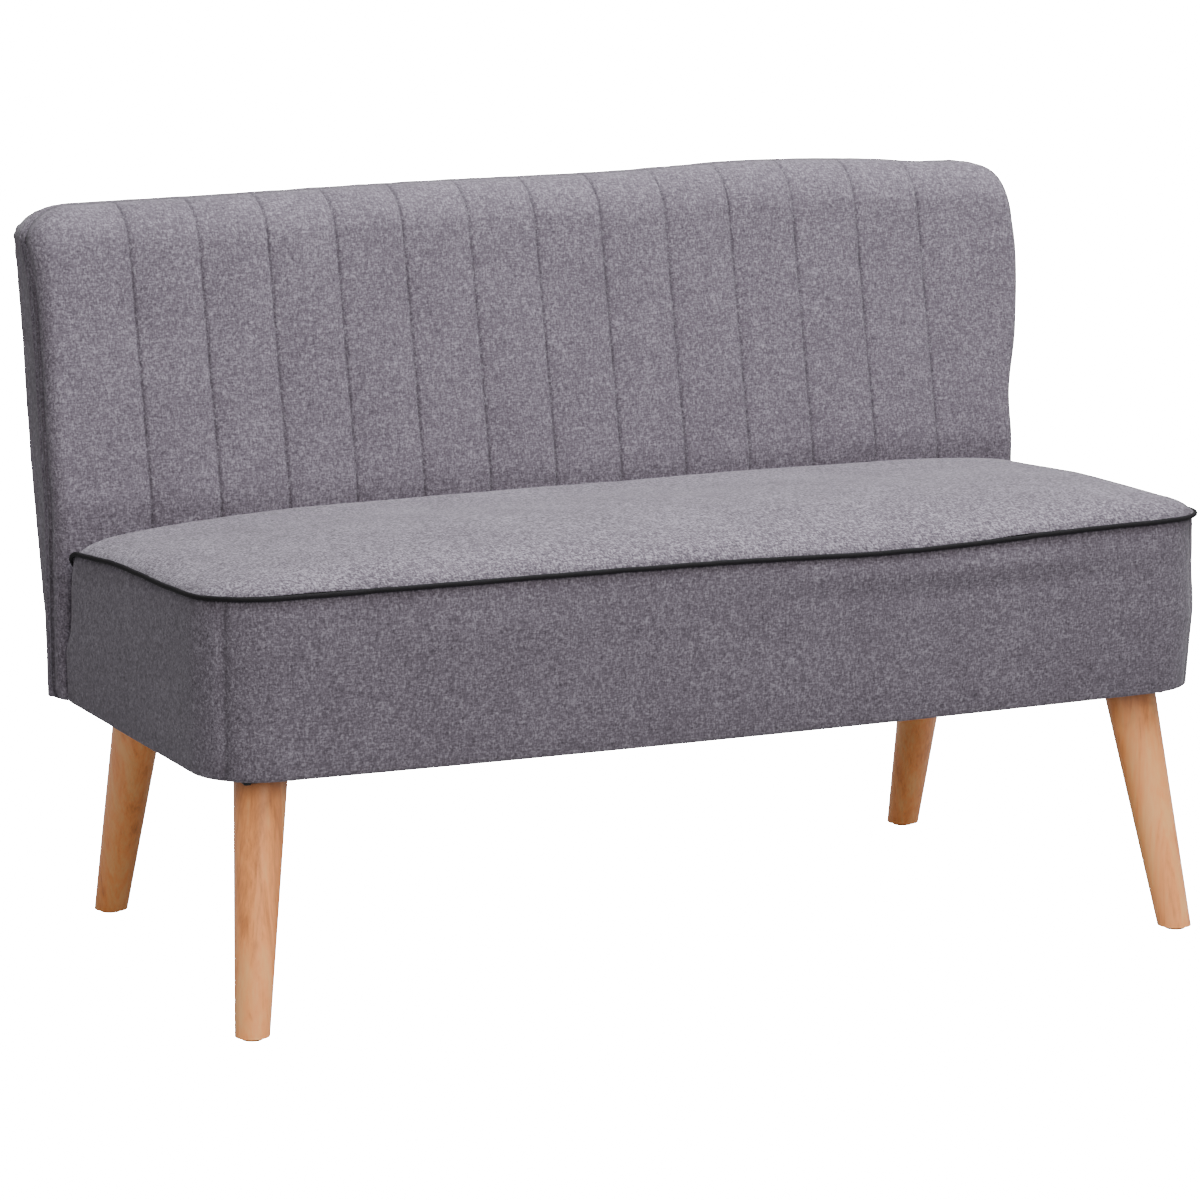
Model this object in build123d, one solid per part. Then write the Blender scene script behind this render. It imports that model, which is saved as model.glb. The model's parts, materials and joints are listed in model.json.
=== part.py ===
from build123d import *
import math
import os

os.makedirs("parts", exist_ok=True)

# Overall sizes, in millimetres. X runs along the width, Y from the front to the rear, Z up from the floor.
back_width = 1180.0
overall_depth = 630.0
overall_height = 795.0
underside_height = 268.0

# Clearances and cloth
cloth_thickness = 3.0
fit_gap = 0.3
bolt_clearance = 0.3

# Seat outline and height
seat_side_inset = 8.0
seat_front_bow = 15.0
seat_corner_radius = 75.0
seat_edge_height = 459.0
seat_fall_share = 0.05
seat_crown = 36.0
crown_edge_lift = 1.2
crown_station_shares = (0.0, 0.25, 0.45, 0.65, 0.80, 0.92, 1.01)
crown_power = 4
crown_end_share = 0.03
crown_rear_share = 0.86
seat_rear_rounding = 32.0

# Piping
piping_radius = 3.0
piping_tail = 14.0

# Seat frame
rail_thickness = 25.0
rail_height = 68.0
frame_lift = 2.0
corner_block_width = 102.0
corner_block_depth = 96.0
centre_rail_width = 45.0
centre_rail_height = 50.0
dust_cloth_thickness = 1.5
dust_cloth_margin = 9.0

# Springs and padding
spring_wire_radius = 1.8
spring_count = 8
spring_half_width = 24.0
spring_bar_count = 21
spring_span_share = 0.86
clip_width = 16.0
clip_length = 14.0
clip_height = 6.0
felt_thickness = 3.0

# Legs
leg_top_radius = 28.2
leg_foot_radius = 18.2
front_foot_inset = 37.0
front_foot_setback = 2.0
front_leg_splay_x = 33.0
front_leg_splay_y = 53.0
rear_foot_inset = 92.0
rear_leg_splay_x = 10.0
rear_leg_splay_y = 84.0
leg_end_height = 3.5
glide_radius = 11.0

# Leg plates and fixings
plate_size = 59.0
rear_plate_width = 66.0
rear_plate_margin = 1.5
plate_thickness = 6.0
plate_corner = 5.0
hanger_bolt_radius = 4.0
hanger_bolt_in_leg = 45.0
hanger_bolt_in_block = 30.0
screw_radius = 2.0
screw_head_radius = 4.0
screw_head_height = 1.8
screw_length = 20.0
screw_inset = 5.5

# Backrest
back_front_gap = 6.8
back_foot_thickness = 53.0
back_rear_lean = 12.7
back_front_lean = 12.0
back_bend_rise = 23.0
back_front_rounding = 26.0
back_end_top_rounding = 54.0
back_end_top_drop = 36.0
back_top_front_radius = 58.0
back_top_rear_drop = 8.0
back_rear_edge_radius = 22.0
back_side_strip = 46.0
channel_bulge = 4.0
seam_count = 13
back_end_channel = 108.8
rounding_station_shares = (0.0, 0.5, 0.82, 0.966, 1.0)
back_frame_thickness = 28.0
back_frame_width = 40.0
back_panel_thickness = 4.0
back_frame_foot = 10.0
back_frame_inset = 20.0
back_frame_top_gap = 45.0
back_top_rail_height = 30.0
back_bottom_rail_height = 50.0
back_block_width = 100.0
back_block_height = 68.0

# Bolts between the seat frame and the back frame
join_bolt_radius = 4.0
join_head_radius = 7.5
join_head_height = 5.0
join_nut_radius = 7.5
join_nut_height = 6.5
join_bolt_rise = 35.0
join_bolt_inset = 45.0
join_bolt_shares = (-1.0, -0.34, 0.34, 1.0)
washer_radius = 9.0
washer_thickness = 1.5
hexagon_sides = 6

# Positions worked out from the sizes above
rear_lean = math.radians(back_rear_lean)
front_lean = math.radians(back_front_lean)
back_rear_edge_height = overall_height - back_top_rear_drop
rear_edge_centre = back_rear_edge_height - back_rear_edge_radius
rear_edge_reach = back_rear_edge_radius - back_rear_edge_radius / math.cos(rear_lean)
rear_run = (rear_edge_centre - underside_height) * math.tan(rear_lean) + rear_edge_reach
back_rear_foot = overall_depth / 2 - rear_run
back_front = back_rear_foot - back_foot_thickness
seat_rear = back_front - back_front_gap
front_line = -overall_depth / 2 + seat_front_bow
back_half = back_width / 2
seat_half = back_half - seat_side_inset
back_bend_height = seat_edge_height + back_bend_rise
channel_pitch = 2 * (back_half - back_end_channel) / (seam_count - 1)
inner_skin = cloth_thickness + fit_gap
frame_bottom = underside_height + frame_lift
rail_top = frame_bottom + rail_height
spring_height = rail_top + spring_wire_radius
felt_bottom = rail_top + clip_height + fit_gap
foam_bottom = felt_bottom + felt_thickness + fit_gap
dust_cloth_bottom = frame_bottom - dust_cloth_thickness
front_plate_bottom = dust_cloth_bottom - plate_thickness
rear_plate_bottom = underside_height - plate_thickness
rear_plate_depth = back_foot_thickness - 2 * rear_plate_margin
back_frame_half = back_half - back_frame_inset
back_block_x = back_frame_half - back_frame_width - back_block_width
back_slant_height = (overall_height - underside_height) / math.cos(rear_lean)
back_frame_top = back_slant_height - back_frame_top_gap
seat_block_x = seat_half - inner_skin - corner_block_width
join_reach = min(back_block_x, seat_block_x) - join_bolt_inset
join_bolt_height = frame_bottom + join_bolt_rise
bow_radius = (seat_half**2 + seat_front_bow**2) / (2 * seat_front_bow)
bow_centre_y = front_line - seat_front_bow + bow_radius
corner_x = seat_half - seat_corner_radius
corner_y = bow_centre_y - math.sqrt((bow_radius - seat_corner_radius) ** 2 - corner_x**2)
wide = back_width


def export(shape, name):
    export_step(shape, f"parts/{name}.step")


def edge_height(y):
    """Height of the piping line at a depth."""
    return seat_edge_height - seat_fall_share * (y - front_line)


def outline_face(inset, rear_inset):
    """Plan of the seat: straight sides, bowed front, two rounded corners."""
    half = seat_half - inset
    radius = seat_corner_radius - inset
    bow = bow_radius - inset
    scale_out = bow / (bow_radius - seat_corner_radius)
    touch_x = corner_x * scale_out
    touch_y = bow_centre_y + (corner_y - bow_centre_y) * scale_out
    turn = math.atan2(touch_y - corner_y, touch_x - corner_x) / 2
    mid_x = corner_x + radius * math.cos(turn)
    mid_y = corner_y + radius * math.sin(turn)
    rear = seat_rear - rear_inset
    left = Line((-half, rear), (-half, corner_y))
    left_corner = ThreePointArc((-half, corner_y), (-mid_x, mid_y), (-touch_x, touch_y))
    bow_arc = ThreePointArc((-touch_x, touch_y), (0, bow_centre_y - bow), (touch_x, touch_y))
    right_corner = ThreePointArc((touch_x, touch_y), (mid_x, mid_y), (half, corner_y))
    right = Line((half, corner_y), (half, rear))
    back = Line((half, rear), (-half, rear))
    return make_face(Wire([left, left_corner, bow_arc, right_corner, right, back]))


def piping_arc_centre():
    """Centre of the rounding at the rear end of the piping, seen from the side."""
    y = seat_rear + piping_radius + fit_gap - seat_rear_rounding
    slope = math.atan(1 / seat_fall_share)
    end_y = y + seat_rear_rounding * math.cos(slope)
    z = edge_height(end_y) - seat_rear_rounding * math.sin(slope)
    return y, z, slope


def below_edge_prism(offset):
    """Everything under the piping line, moved up or down by an offset, with the rounded rear corner."""
    y, z, slope = piping_arc_centre()
    radius = seat_rear_rounding + offset
    half_slope = slope / 2
    lift = offset * math.sqrt(1 + seat_fall_share**2)
    far = front_line - overall_depth
    start = (far, edge_height(far) + lift)
    top = (y + radius * math.cos(slope), z + radius * math.sin(slope))
    middle = (y + radius * math.cos(half_slope), z + radius * math.sin(half_slope))
    side = (y + radius, z)
    lines = [
        Line(start, top),
        ThreePointArc(top, middle, side),
        Line(side, (y + radius, 0)),
        Line((y + radius, 0), (far, 0)),
        Line((far, 0), start),
    ]
    profile = Plane.YZ * make_face(Wire(lines))
    return extrude(profile, wide, both=True)


def below_edge_plane(offset):
    """Everything under the piping line carried straight on to the rear."""
    near = front_line - overall_depth
    far = front_line + overall_depth
    corners = [(near, 0), (near, edge_height(near) + offset), (far, edge_height(far) + offset), (far, 0)]
    profile = Plane.YZ * make_face(Polyline(*corners, close=True))
    return extrude(profile, wide, both=True)


def crown_section(x, inset, drop, floor):
    """One side-view slice of the crowned seat."""
    share = max(crown_end_share, 1 - abs(x / seat_half) ** crown_power)
    rise = seat_crown * share
    start = front_line - seat_front_bow
    rear = seat_rear - inset
    rounding = seat_rear_rounding - inset
    lift = piping_radius + fit_gap + crown_edge_lift - drop
    near_rear = rear - rounding
    middle = (start + near_rear) / 2
    top_start = edge_height(start) + lift
    top_middle = edge_height(middle) + lift + rise
    top_rear = edge_height(near_rear) + lift + rise * crown_rear_share
    turn = rounding * math.sqrt(1 / 2)
    points = [
        (x, start, floor),
        (x, start, top_start),
        (x, middle, top_middle),
        (x, near_rear, top_rear),
        (x, near_rear + turn, top_rear - rounding + turn),
        (x, rear, top_rear - rounding),
        (x, rear, floor),
    ]
    lines = [
        Line(points[0], points[1]),
        ThreePointArc(points[1], points[2], points[3]),
        ThreePointArc(points[3], points[4], points[5]),
        Line(points[5], points[6]),
        Line(points[6], points[0]),
    ]
    return make_face(Wire(lines))


def crown_solid(inset, drop, floor):
    """Seat body with a crowned top: lofted from end to end, then cut to the seat's plan."""
    places = [-share * seat_half for share in reversed(crown_station_shares)]
    places += [share * seat_half for share in crown_station_shares if share > 0]
    body = loft([crown_section(x, inset, drop, floor) for x in places])
    plan = extrude(outline_face(inset, -seat_front_bow), overall_height)
    return body & plan


def back_section(x, inset, floor):
    """One side-view slice of the backrest, channels included."""
    half = back_half - inset
    at = min(abs(x), half)
    front_round = back_front_rounding - inset
    top_round = back_end_top_rounding - inset
    top_drop = back_end_top_drop - inset
    over = max(0, at - (half - front_round))
    over_top = max(0, at - (half - top_round))
    moved = front_round - math.sqrt(max(0, front_round**2 - over**2))
    lowered = top_drop * (1 - math.sqrt(max(0, 1 - (over_top / top_round) ** 2)))
    front = back_front + inset + moved - channel_bulge * channel_wave(at, half)
    crest = overall_height - inset - lowered
    roll = back_top_front_radius - inset
    roll_z = crest - roll
    face_top = roll_z + roll * math.sin(front_lean)
    face_y = front + (face_top - back_bend_height) * math.tan(front_lean)
    roll_y = face_y + roll * math.cos(front_lean)
    half_turn = (math.pi / 2 - front_lean) / 2
    edge = back_rear_edge_radius - inset
    edge_z = back_rear_edge_height - inset - lowered - edge
    rear_foot = back_rear_foot - inset / math.cos(rear_lean)
    edge_y = rear_foot + (edge_z - underside_height) * math.tan(rear_lean) - edge / math.cos(rear_lean)
    edge_turn = (math.pi / 2 - rear_lean) / 2
    floor_y = rear_foot + (floor - underside_height) * math.tan(rear_lean)
    points = [
        (x, front, floor),
        (x, front, back_bend_height),
        (x, face_y, face_top),
        (x, roll_y - roll * math.sin(half_turn), roll_z + roll * math.cos(half_turn)),
        (x, roll_y, crest),
        (x, edge_y, edge_z + edge),
        (x, edge_y + edge * math.cos(edge_turn), edge_z + edge * math.sin(edge_turn)),
        (x, edge_y + edge * math.cos(rear_lean), edge_z - edge * math.sin(rear_lean)),
        (x, floor_y, floor),
    ]
    lines = [
        Line(points[0], points[1]),
        Line(points[1], points[2]),
        ThreePointArc(points[2], points[3], points[4]),
        Line(points[4], points[5]),
        ThreePointArc(points[5], points[6], points[7]),
        Line(points[7], points[8]),
        Line(points[8], points[0]),
    ]
    return make_face(Wire(lines))


def channel_wave(at, half):
    """0 in a seam, 1 in the middle of a channel, 0 again at the end of the back."""
    outer_seam = channel_pitch * (seam_count - 1) / 2
    if at <= outer_seam:
        return abs(math.sin(math.pi * at / channel_pitch))
    return math.sin(math.pi * min(1, (at - outer_seam) / (half - outer_seam)))


def back_stations(inset):
    """Where the slices of the back are taken: each seam, each channel and the rounded ends."""
    half = back_half - inset
    places = [step * channel_pitch / 2 for step in range(seam_count)]
    rounded = back_end_top_rounding - inset
    places += [half - rounded + share * rounded for share in rounding_station_shares]
    return [-place for place in reversed(places) if place > 0] + places


def back_solid(inset, floor):
    """Backrest body, lofted from the left end to the right end."""
    return loft([back_section(x, inset, floor) for x in back_stations(inset)])


def lean_place(x, depth, height):
    """A place in the leaning frame of the back: depth forward from the rear face, height up along it."""
    foot = Location((0, back_rear_foot, underside_height), (-back_rear_lean, 0, 0))
    return foot * Pos(x, -depth, height)


def lean_box(x_from, x_to, depth_from, depth_to, height_from, height_to):
    """A box squared to the leaning rear face of the back."""
    size = (x_to - x_from, depth_to - depth_from, height_to - height_from)
    middle = ((x_to + x_from) / 2, (depth_to + depth_from) / 2, (height_to + height_from) / 2)
    return lean_place(*middle) * Box(*size)


def plain_box(x_from, x_to, y_from, y_to, z_from, z_to):
    """A box between two corners."""
    size = (x_to - x_from, y_to - y_from, z_to - z_from)
    middle = ((x_to + x_from) / 2, (y_to + y_from) / 2, (z_to + z_from) / 2)
    return Pos(*middle) * Box(*size)


def plan_block(inset, z_from, z_to):
    """The seat's plan, extruded between two heights."""
    return Pos(0, 0, z_from) * extrude(outline_face(inset, inset), z_to - z_from)


def group(solids):
    return Compound(children=list(solids))


# Legs

def front_leg_ends(side):
    """Middle of the floor contact and of the top of a front leg."""
    foot = Vector(side * (seat_half - front_foot_inset), front_line + front_foot_setback, 0)
    return foot, foot + Vector(-side * front_leg_splay_x, front_leg_splay_y, front_plate_bottom)


def rear_leg_ends(side):
    """Middle of the floor contact and of the top of a rear leg, which stands under the middle of the back."""
    underside_middle = (back_front + back_rear_foot) / 2
    foot = Vector(side * (back_half - rear_foot_inset), underside_middle + rear_leg_splay_y, 0)
    return foot, foot + Vector(-side * rear_leg_splay_x, -rear_leg_splay_y, rear_plate_bottom)


front_legs = {"front_left": front_leg_ends(-1), "front_right": front_leg_ends(1)}
rear_legs = {"rear_left": rear_leg_ends(-1), "rear_right": rear_leg_ends(1)}


def axis_plane(foot, top, along):
    """Plane square to a leg at a distance above its floor point."""
    direction = (top - foot).normalized()
    return Plane(origin=foot + direction * along, z_dir=direction)


def hanger_bolt(foot, top):
    length = (top - foot).length
    start = length - hanger_bolt_in_leg
    reach = hanger_bolt_in_leg + hanger_bolt_in_block
    return extrude(axis_plane(foot, top, start) * Circle(hanger_bolt_radius), reach)


def hanger_hole(foot, top):
    length = (top - foot).length
    start = length - hanger_bolt_in_leg - bolt_clearance
    reach = hanger_bolt_in_leg + hanger_bolt_in_block + bolt_clearance * 2
    return extrude(axis_plane(foot, top, start) * Circle(hanger_bolt_radius + bolt_clearance), reach)


def leg(foot, top):
    """Tapered round leg, cut level just above the floor and under its plate."""
    length = (top - foot).length
    over = leg_top_radius
    grow = (leg_top_radius - leg_foot_radius) / length
    low = axis_plane(foot, top, -over) * Circle(leg_foot_radius - grow * over)
    high = axis_plane(foot, top, length + over) * Circle(leg_top_radius + grow * over)
    body = loft([low, high])
    below = plain_box(-wide, wide, -wide, wide, -wide, leg_end_height)
    above = plain_box(-wide, wide, -wide, wide, top.Z, top.Z + wide)
    return body - below - above - hanger_hole(foot, top)


def glide(foot):
    """Round foot pad, flat on the floor."""
    return Pos(foot.X, foot.Y, 0) * extrude(Circle(glide_radius), leg_end_height)


def plate_screw_places(top, plate_width, plate_depth):
    reach_x = plate_width / 2 - screw_inset
    reach_y = plate_depth / 2 - screw_inset
    return [Pos(top.X + sx * reach_x, top.Y + sy * reach_y, top.Z) for sx in (-1, 1) for sy in (-1, 1)]


def plate_screws(top, plate_width, plate_depth):
    head = Pos(0, 0, -screw_head_height) * extrude(Circle(screw_head_radius), screw_head_height)
    screw = head + extrude(Circle(screw_radius), screw_length)
    return [place * screw for place in plate_screw_places(top, plate_width, plate_depth)]


def screw_holes(top, plate_width, plate_depth):
    hole = extrude(Circle(screw_radius + bolt_clearance), screw_length + bolt_clearance)
    return [place * hole for place in plate_screw_places(top, plate_width, plate_depth)]


def leg_plate(foot, top, plate_width, plate_depth):
    outline = RectangleRounded(plate_width, plate_depth, plate_corner)
    body = Pos(top.X, top.Y, top.Z) * extrude(outline, plate_thickness)
    return body - hanger_hole(foot, top) - screw_holes(top, plate_width, plate_depth)


def leg_set(legs, plate_width, plate_depth):
    """Writes the legs, glides and plates of one pair, and returns its bolts, screws and drillings."""
    bolts, screws, drillings = [], [], []
    for name, (foot, top) in legs.items():
        export(leg(foot, top), f"leg_{name}")
        export(glide(foot), f"foot_glide_{name}")
        export(leg_plate(foot, top, plate_width, plate_depth), f"leg_plate_{name}")
        bolts.append(hanger_bolt(foot, top))
        screws += plate_screws(top, plate_width, plate_depth)
        drillings += [hanger_hole(foot, top), *screw_holes(top, plate_width, plate_depth)]
    return bolts, screws, drillings


front_bolts, front_screws, front_drillings = leg_set(front_legs, plate_size, plate_size)
rear_bolts, rear_screws, rear_drillings = leg_set(rear_legs, rear_plate_width, rear_plate_depth)
export(group(front_bolts + rear_bolts), "hanger_bolts")
export(group(front_screws + rear_screws), "plate_screws")


# Bolts between the two frames

def join_places():
    return [share * join_reach for share in join_bolt_shares]


def along_y(x, y_from, y_to, profile):
    """A profile drawn across Y and pushed from one depth to another."""
    plane = Plane(origin=(x, y_from, join_bolt_height), x_dir=(1, 0, 0), z_dir=(0, 1, 0))
    return extrude(plane * profile, y_to - y_from)


rear_rail_front = seat_rear - inner_skin - rail_thickness
rear_face_at_bolt = back_rear_foot + (join_bolt_height - underside_height) * math.tan(rear_lean)
nut_end = rear_face_at_bolt - inner_skin * 2 - join_nut_height / 2
nut_start = nut_end - join_nut_height
washer_start = rear_rail_front - washer_thickness
head_start = washer_start - join_head_height
bolt_head_outline = RegularPolygon(join_head_radius, hexagon_sides)
nut_outline = RegularPolygon(join_nut_radius, hexagon_sides) - Circle(join_bolt_radius + bolt_clearance / 2)
washer_outline = Circle(washer_radius) - Circle(join_bolt_radius + bolt_clearance / 2)
join_bolts, join_nuts, join_washers, join_holes = [], [], [], []
for x in join_places():
    head = along_y(x, head_start, washer_start, bolt_head_outline)
    shank = along_y(x, washer_start, nut_end, Circle(join_bolt_radius))
    join_bolts.append(head + shank)
    join_nuts.append(along_y(x, nut_start, nut_end, nut_outline))
    join_washers.append(along_y(x, washer_start, rear_rail_front, washer_outline))
    join_holes.append(along_y(x, rear_rail_front, nut_start, Circle(join_bolt_radius + bolt_clearance)))
    join_holes.append(along_y(x, nut_start, overall_depth, Circle(join_nut_radius + bolt_clearance)))
export(group(join_bolts), "join_bolts")
export(group(join_nuts), "join_nuts")
export(group(join_washers), "join_washers")


# Seat frame

def seat_frame():
    block_x = seat_block_x
    front_block_y = front_line + inner_skin + corner_block_depth
    rear_block_y = seat_rear - inner_skin - corner_block_depth
    whole = plan_block(inner_skin, frame_bottom, rail_top)
    ring = whole - plan_block(inner_skin + rail_thickness, frame_bottom, rail_top)
    low, high = frame_bottom, rail_top
    front_zone = plain_box(-block_x, block_x, -wide, front_block_y, low, high)
    rear_zone = plain_box(-block_x, block_x, rear_block_y, wide, low, high)
    export((ring & front_zone) - front_drillings, "seat_front_rail")
    export((ring & rear_zone) - join_holes, "seat_rear_rail")
    for name, side in (("left", -1), ("right", 1)):
        across = sorted((0, side * wide))
        zone = plain_box(*across, front_block_y, rear_block_y, low, high)
        export(ring & zone, f"seat_side_rail_{name}")
    blocks = []
    for side in (-1, 1):
        across = sorted((side * block_x, side * wide))
        blocks.append(whole & plain_box(*across, -wide, front_block_y, low, high))
        blocks.append(whole & plain_box(*across, rear_block_y, wide, low, high))
    export(group([block - front_drillings for block in blocks]), "corner_blocks")
    inside = plan_block(inner_skin + rail_thickness, frame_bottom, frame_bottom + centre_rail_height)
    zone = plain_box(-centre_rail_width / 2, centre_rail_width / 2, -wide, wide, low, high)
    export(inside & zone, "seat_centre_rail")
    cloth = plan_block(dust_cloth_margin, dust_cloth_bottom, frame_bottom)
    export(cloth - front_drillings, "dust_cloth")


seat_frame()


# Springs

def spring(x):
    """One zigzag wire from the front rail to the rear rail."""
    first = front_line + inner_skin + rail_thickness / 2
    last = seat_rear - inner_skin - rail_thickness / 2
    pitch = (last - first) / (spring_bar_count - 1)
    reach = spring_half_width
    edges = []
    for bar in range(spring_bar_count):
        y = first + bar * pitch
        side = 1 if bar % 2 == 0 else -1
        edges.append(Line((x - side * reach, y, spring_height), (x + side * reach, y, spring_height)))
        if bar < spring_bar_count - 1:
            start = (x + side * reach, y, spring_height)
            middle = (x + side * (reach + pitch / 2), y + pitch / 2, spring_height)
            edges.append(ThreePointArc(start, middle, (x + side * reach, y + pitch, spring_height)))
    path = Wire(edges)
    start_plane = Plane(origin=(x - reach, first, spring_height), z_dir=(1, 0, 0))
    return sweep(start_plane * Circle(spring_wire_radius), path=path), (first, last)


def springs():
    reach = corner_x * spring_span_share
    step = 2 * reach / (spring_count - 1)
    wire, ends = spring(0)
    places = [-reach + step * number for number in range(spring_count)]
    export(group([Pos(x, 0, 0) * wire for x in places]), "seat_springs")
    clips = []
    groove = Circle(spring_wire_radius + bolt_clearance / 2)
    for x in places:
        for y in ends:
            across = (x - clip_width / 2, x + clip_width / 2)
            along = (y - clip_length / 2, y + clip_length / 2)
            block = plain_box(*across, *along, rail_top, rail_top + clip_height)
            plane = Plane(origin=(x - clip_width, y, spring_height), z_dir=(1, 0, 0))
            clips.append(block - extrude(plane * groove, clip_width * 2))
    export(group(clips), "spring_clips")


springs()


# Seat padding and covers

def seat_padding():
    felt = plan_block(inner_skin + cloth_thickness, felt_bottom, felt_bottom + felt_thickness)
    export(felt, "seat_felt")
    export(crown_solid(inner_skin, inner_skin, foam_bottom), "seat_foam")


def seat_covers():
    gap = piping_radius + fit_gap
    cap = crown_solid(0, 0, foam_bottom) - below_edge_plane(gap)
    export(cap - crown_solid(cloth_thickness, cloth_thickness, felt_bottom), "seat_top_cover")
    outer = plan_block(0, underside_height, overall_height)
    inner = plan_block(cloth_thickness, underside_height, overall_height)
    band = (outer - inner) & below_edge_prism(-gap)
    export(band - join_holes, "seat_boxing")


def seat_piping():
    """The seat's plan is drawn in the sloping plane of the top edge, so that its arcs stay round there."""
    y, z, slope = piping_arc_centre()
    side_end = y + seat_rear_rounding * math.cos(slope)
    turn = slope / 2
    stretch = math.sqrt(1 + seat_fall_share**2)
    bow_scale = bow_radius / (bow_radius - seat_corner_radius)
    touch = (corner_x * bow_scale, bow_centre_y + (corner_y - bow_centre_y) * bow_scale)
    corner_turn = math.atan2(touch[1] - corner_y, touch[0] - corner_x) / 2
    mid_x = corner_x + seat_corner_radius * math.cos(corner_turn)
    mid_y = corner_y + seat_corner_radius * math.sin(corner_turn)
    front = front_line - seat_front_bow

    def at(x, place_y):
        along = (place_y - front_line) / stretch
        return (x, front_line + along, edge_height(front_line + along))

    def half_route(side):
        x = side * seat_half
        rear = y + seat_rear_rounding
        mid_rear = (x, y + seat_rear_rounding * math.cos(turn), z + seat_rear_rounding * math.sin(turn))
        rear_top = (x, side_end, edge_height(side_end))
        return [
            Line((x, rear, z - piping_tail), (x, rear, z)),
            ThreePointArc((x, rear, z), mid_rear, rear_top),
            Line(rear_top, at(x, corner_y)),
            ThreePointArc(at(x, corner_y), at(side * mid_x, mid_y), at(side * touch[0], touch[1])),
        ]

    bow = ThreePointArc(at(-touch[0], touch[1]), at(0, front), at(touch[0], touch[1]))
    route = Wire(half_route(-1) + [bow] + half_route(1))
    start = Plane(origin=(-seat_half, y + seat_rear_rounding, z - piping_tail), z_dir=(0, 0, 1))
    export(sweep(start * Circle(piping_radius), path=route, transition=Transition.ROUND), "seat_piping")


seat_padding()
seat_covers()
seat_piping()


# Back frame

def back_block_zone(side, gap, y_from):
    """Space of the block that carries a rear leg, in a lower corner of the back."""
    across = sorted((side * (back_block_x - gap), side * (back_frame_half - back_frame_width + gap)))
    low = underside_height + inner_skin
    box = plain_box(*across, y_from, wide, low - gap, low + back_block_height + gap)
    return box & lean_box(-wide, wide, inner_skin - gap, wide, -wide, wide)


def back_frame():
    skin = inner_skin
    inside = skin + back_frame_thickness
    half = back_frame_half
    foot = back_frame_foot
    rail = foot + back_bottom_rail_height
    top = back_frame_top - back_top_rail_height
    width = back_frame_width
    blocks = [back_block_zone(side, 0, back_front + skin) for side in (-1, 1)]
    export(group([block - rear_drillings for block in blocks]), "back_leg_blocks")
    bottom_rail = lean_box(-back_block_x, back_block_x, skin, inside, foot, rail)
    export(bottom_rail - join_holes, "back_bottom_rail")
    export(lean_box(-half, half, skin, inside, top, back_frame_top), "back_top_rail")
    export(lean_box(-half, -half + width, skin, inside, foot, top), "back_upright_left")
    export(lean_box(half - width, half, skin, inside, foot, top), "back_upright_right")
    export(lean_box(-width / 2, width / 2, skin, inside, rail, top), "back_upright_centre")
    panel = lean_box(-half, half, inside, inside + back_panel_thickness, foot, back_frame_top)
    export(panel - blocks - join_holes, "back_panel")


def back_padding():
    body = back_solid(inner_skin, underside_height + inner_skin)
    front_of_panel = inner_skin + back_frame_thickness + back_panel_thickness + fit_gap
    zone = lean_box(-wide, wide, front_of_panel, wide, -wide, wide)
    block_room = [back_block_zone(side, fit_gap, front_line) for side in (-1, 1)]
    export((body & zone) - block_room - join_holes, "back_foam")


def back_covers():
    inner = back_solid(cloth_thickness, underside_height + cloth_thickness)
    shell = back_solid(0, underside_height) - inner
    seam = back_side_strip
    front_zone = lean_box(-wide, wide, seam + fit_gap / 2, wide, -wide, wide)
    rear_zone = lean_box(-wide, wide, -wide, seam - fit_gap / 2, -wide, wide)
    export((shell & front_zone) - join_holes - rear_drillings, "back_front_cover")
    export((shell & rear_zone) - rear_drillings, "back_rear_cover")


back_frame()
back_padding()
back_covers()
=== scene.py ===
import bpy
import bmesh
import json
import math
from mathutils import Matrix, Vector, noise

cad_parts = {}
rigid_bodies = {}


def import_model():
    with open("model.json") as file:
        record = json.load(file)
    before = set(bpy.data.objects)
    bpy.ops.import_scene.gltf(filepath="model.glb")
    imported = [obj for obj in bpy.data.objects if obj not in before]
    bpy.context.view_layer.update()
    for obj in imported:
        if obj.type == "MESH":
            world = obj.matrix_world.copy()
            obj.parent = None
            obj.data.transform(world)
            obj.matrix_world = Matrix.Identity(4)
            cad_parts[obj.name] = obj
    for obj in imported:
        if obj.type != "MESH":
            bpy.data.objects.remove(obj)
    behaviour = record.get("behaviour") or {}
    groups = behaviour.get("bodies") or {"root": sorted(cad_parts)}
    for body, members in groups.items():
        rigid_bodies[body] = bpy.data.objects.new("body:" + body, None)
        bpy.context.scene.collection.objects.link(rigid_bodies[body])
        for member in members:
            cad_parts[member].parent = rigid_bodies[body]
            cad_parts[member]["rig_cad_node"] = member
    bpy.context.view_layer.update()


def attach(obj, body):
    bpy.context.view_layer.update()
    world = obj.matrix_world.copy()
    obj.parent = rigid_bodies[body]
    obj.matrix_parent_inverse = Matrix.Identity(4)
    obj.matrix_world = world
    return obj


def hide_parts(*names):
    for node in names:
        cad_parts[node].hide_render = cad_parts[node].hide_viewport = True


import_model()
print("frame loaded")


# Helpers

def bump(value, centre, width):
    return math.exp(-((value - centre) / width) ** 2)


def smoothStep(value, low, high):
    share = min(1, max(0, (value - low) / (high - low)))
    return share * share * (3 - 2 * share)


def wander(x, y, z, size, seed=0.0):
    return noise.noise(Vector((x / size + seed, y / size - seed, z / size + seed * 0.37)))


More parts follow.
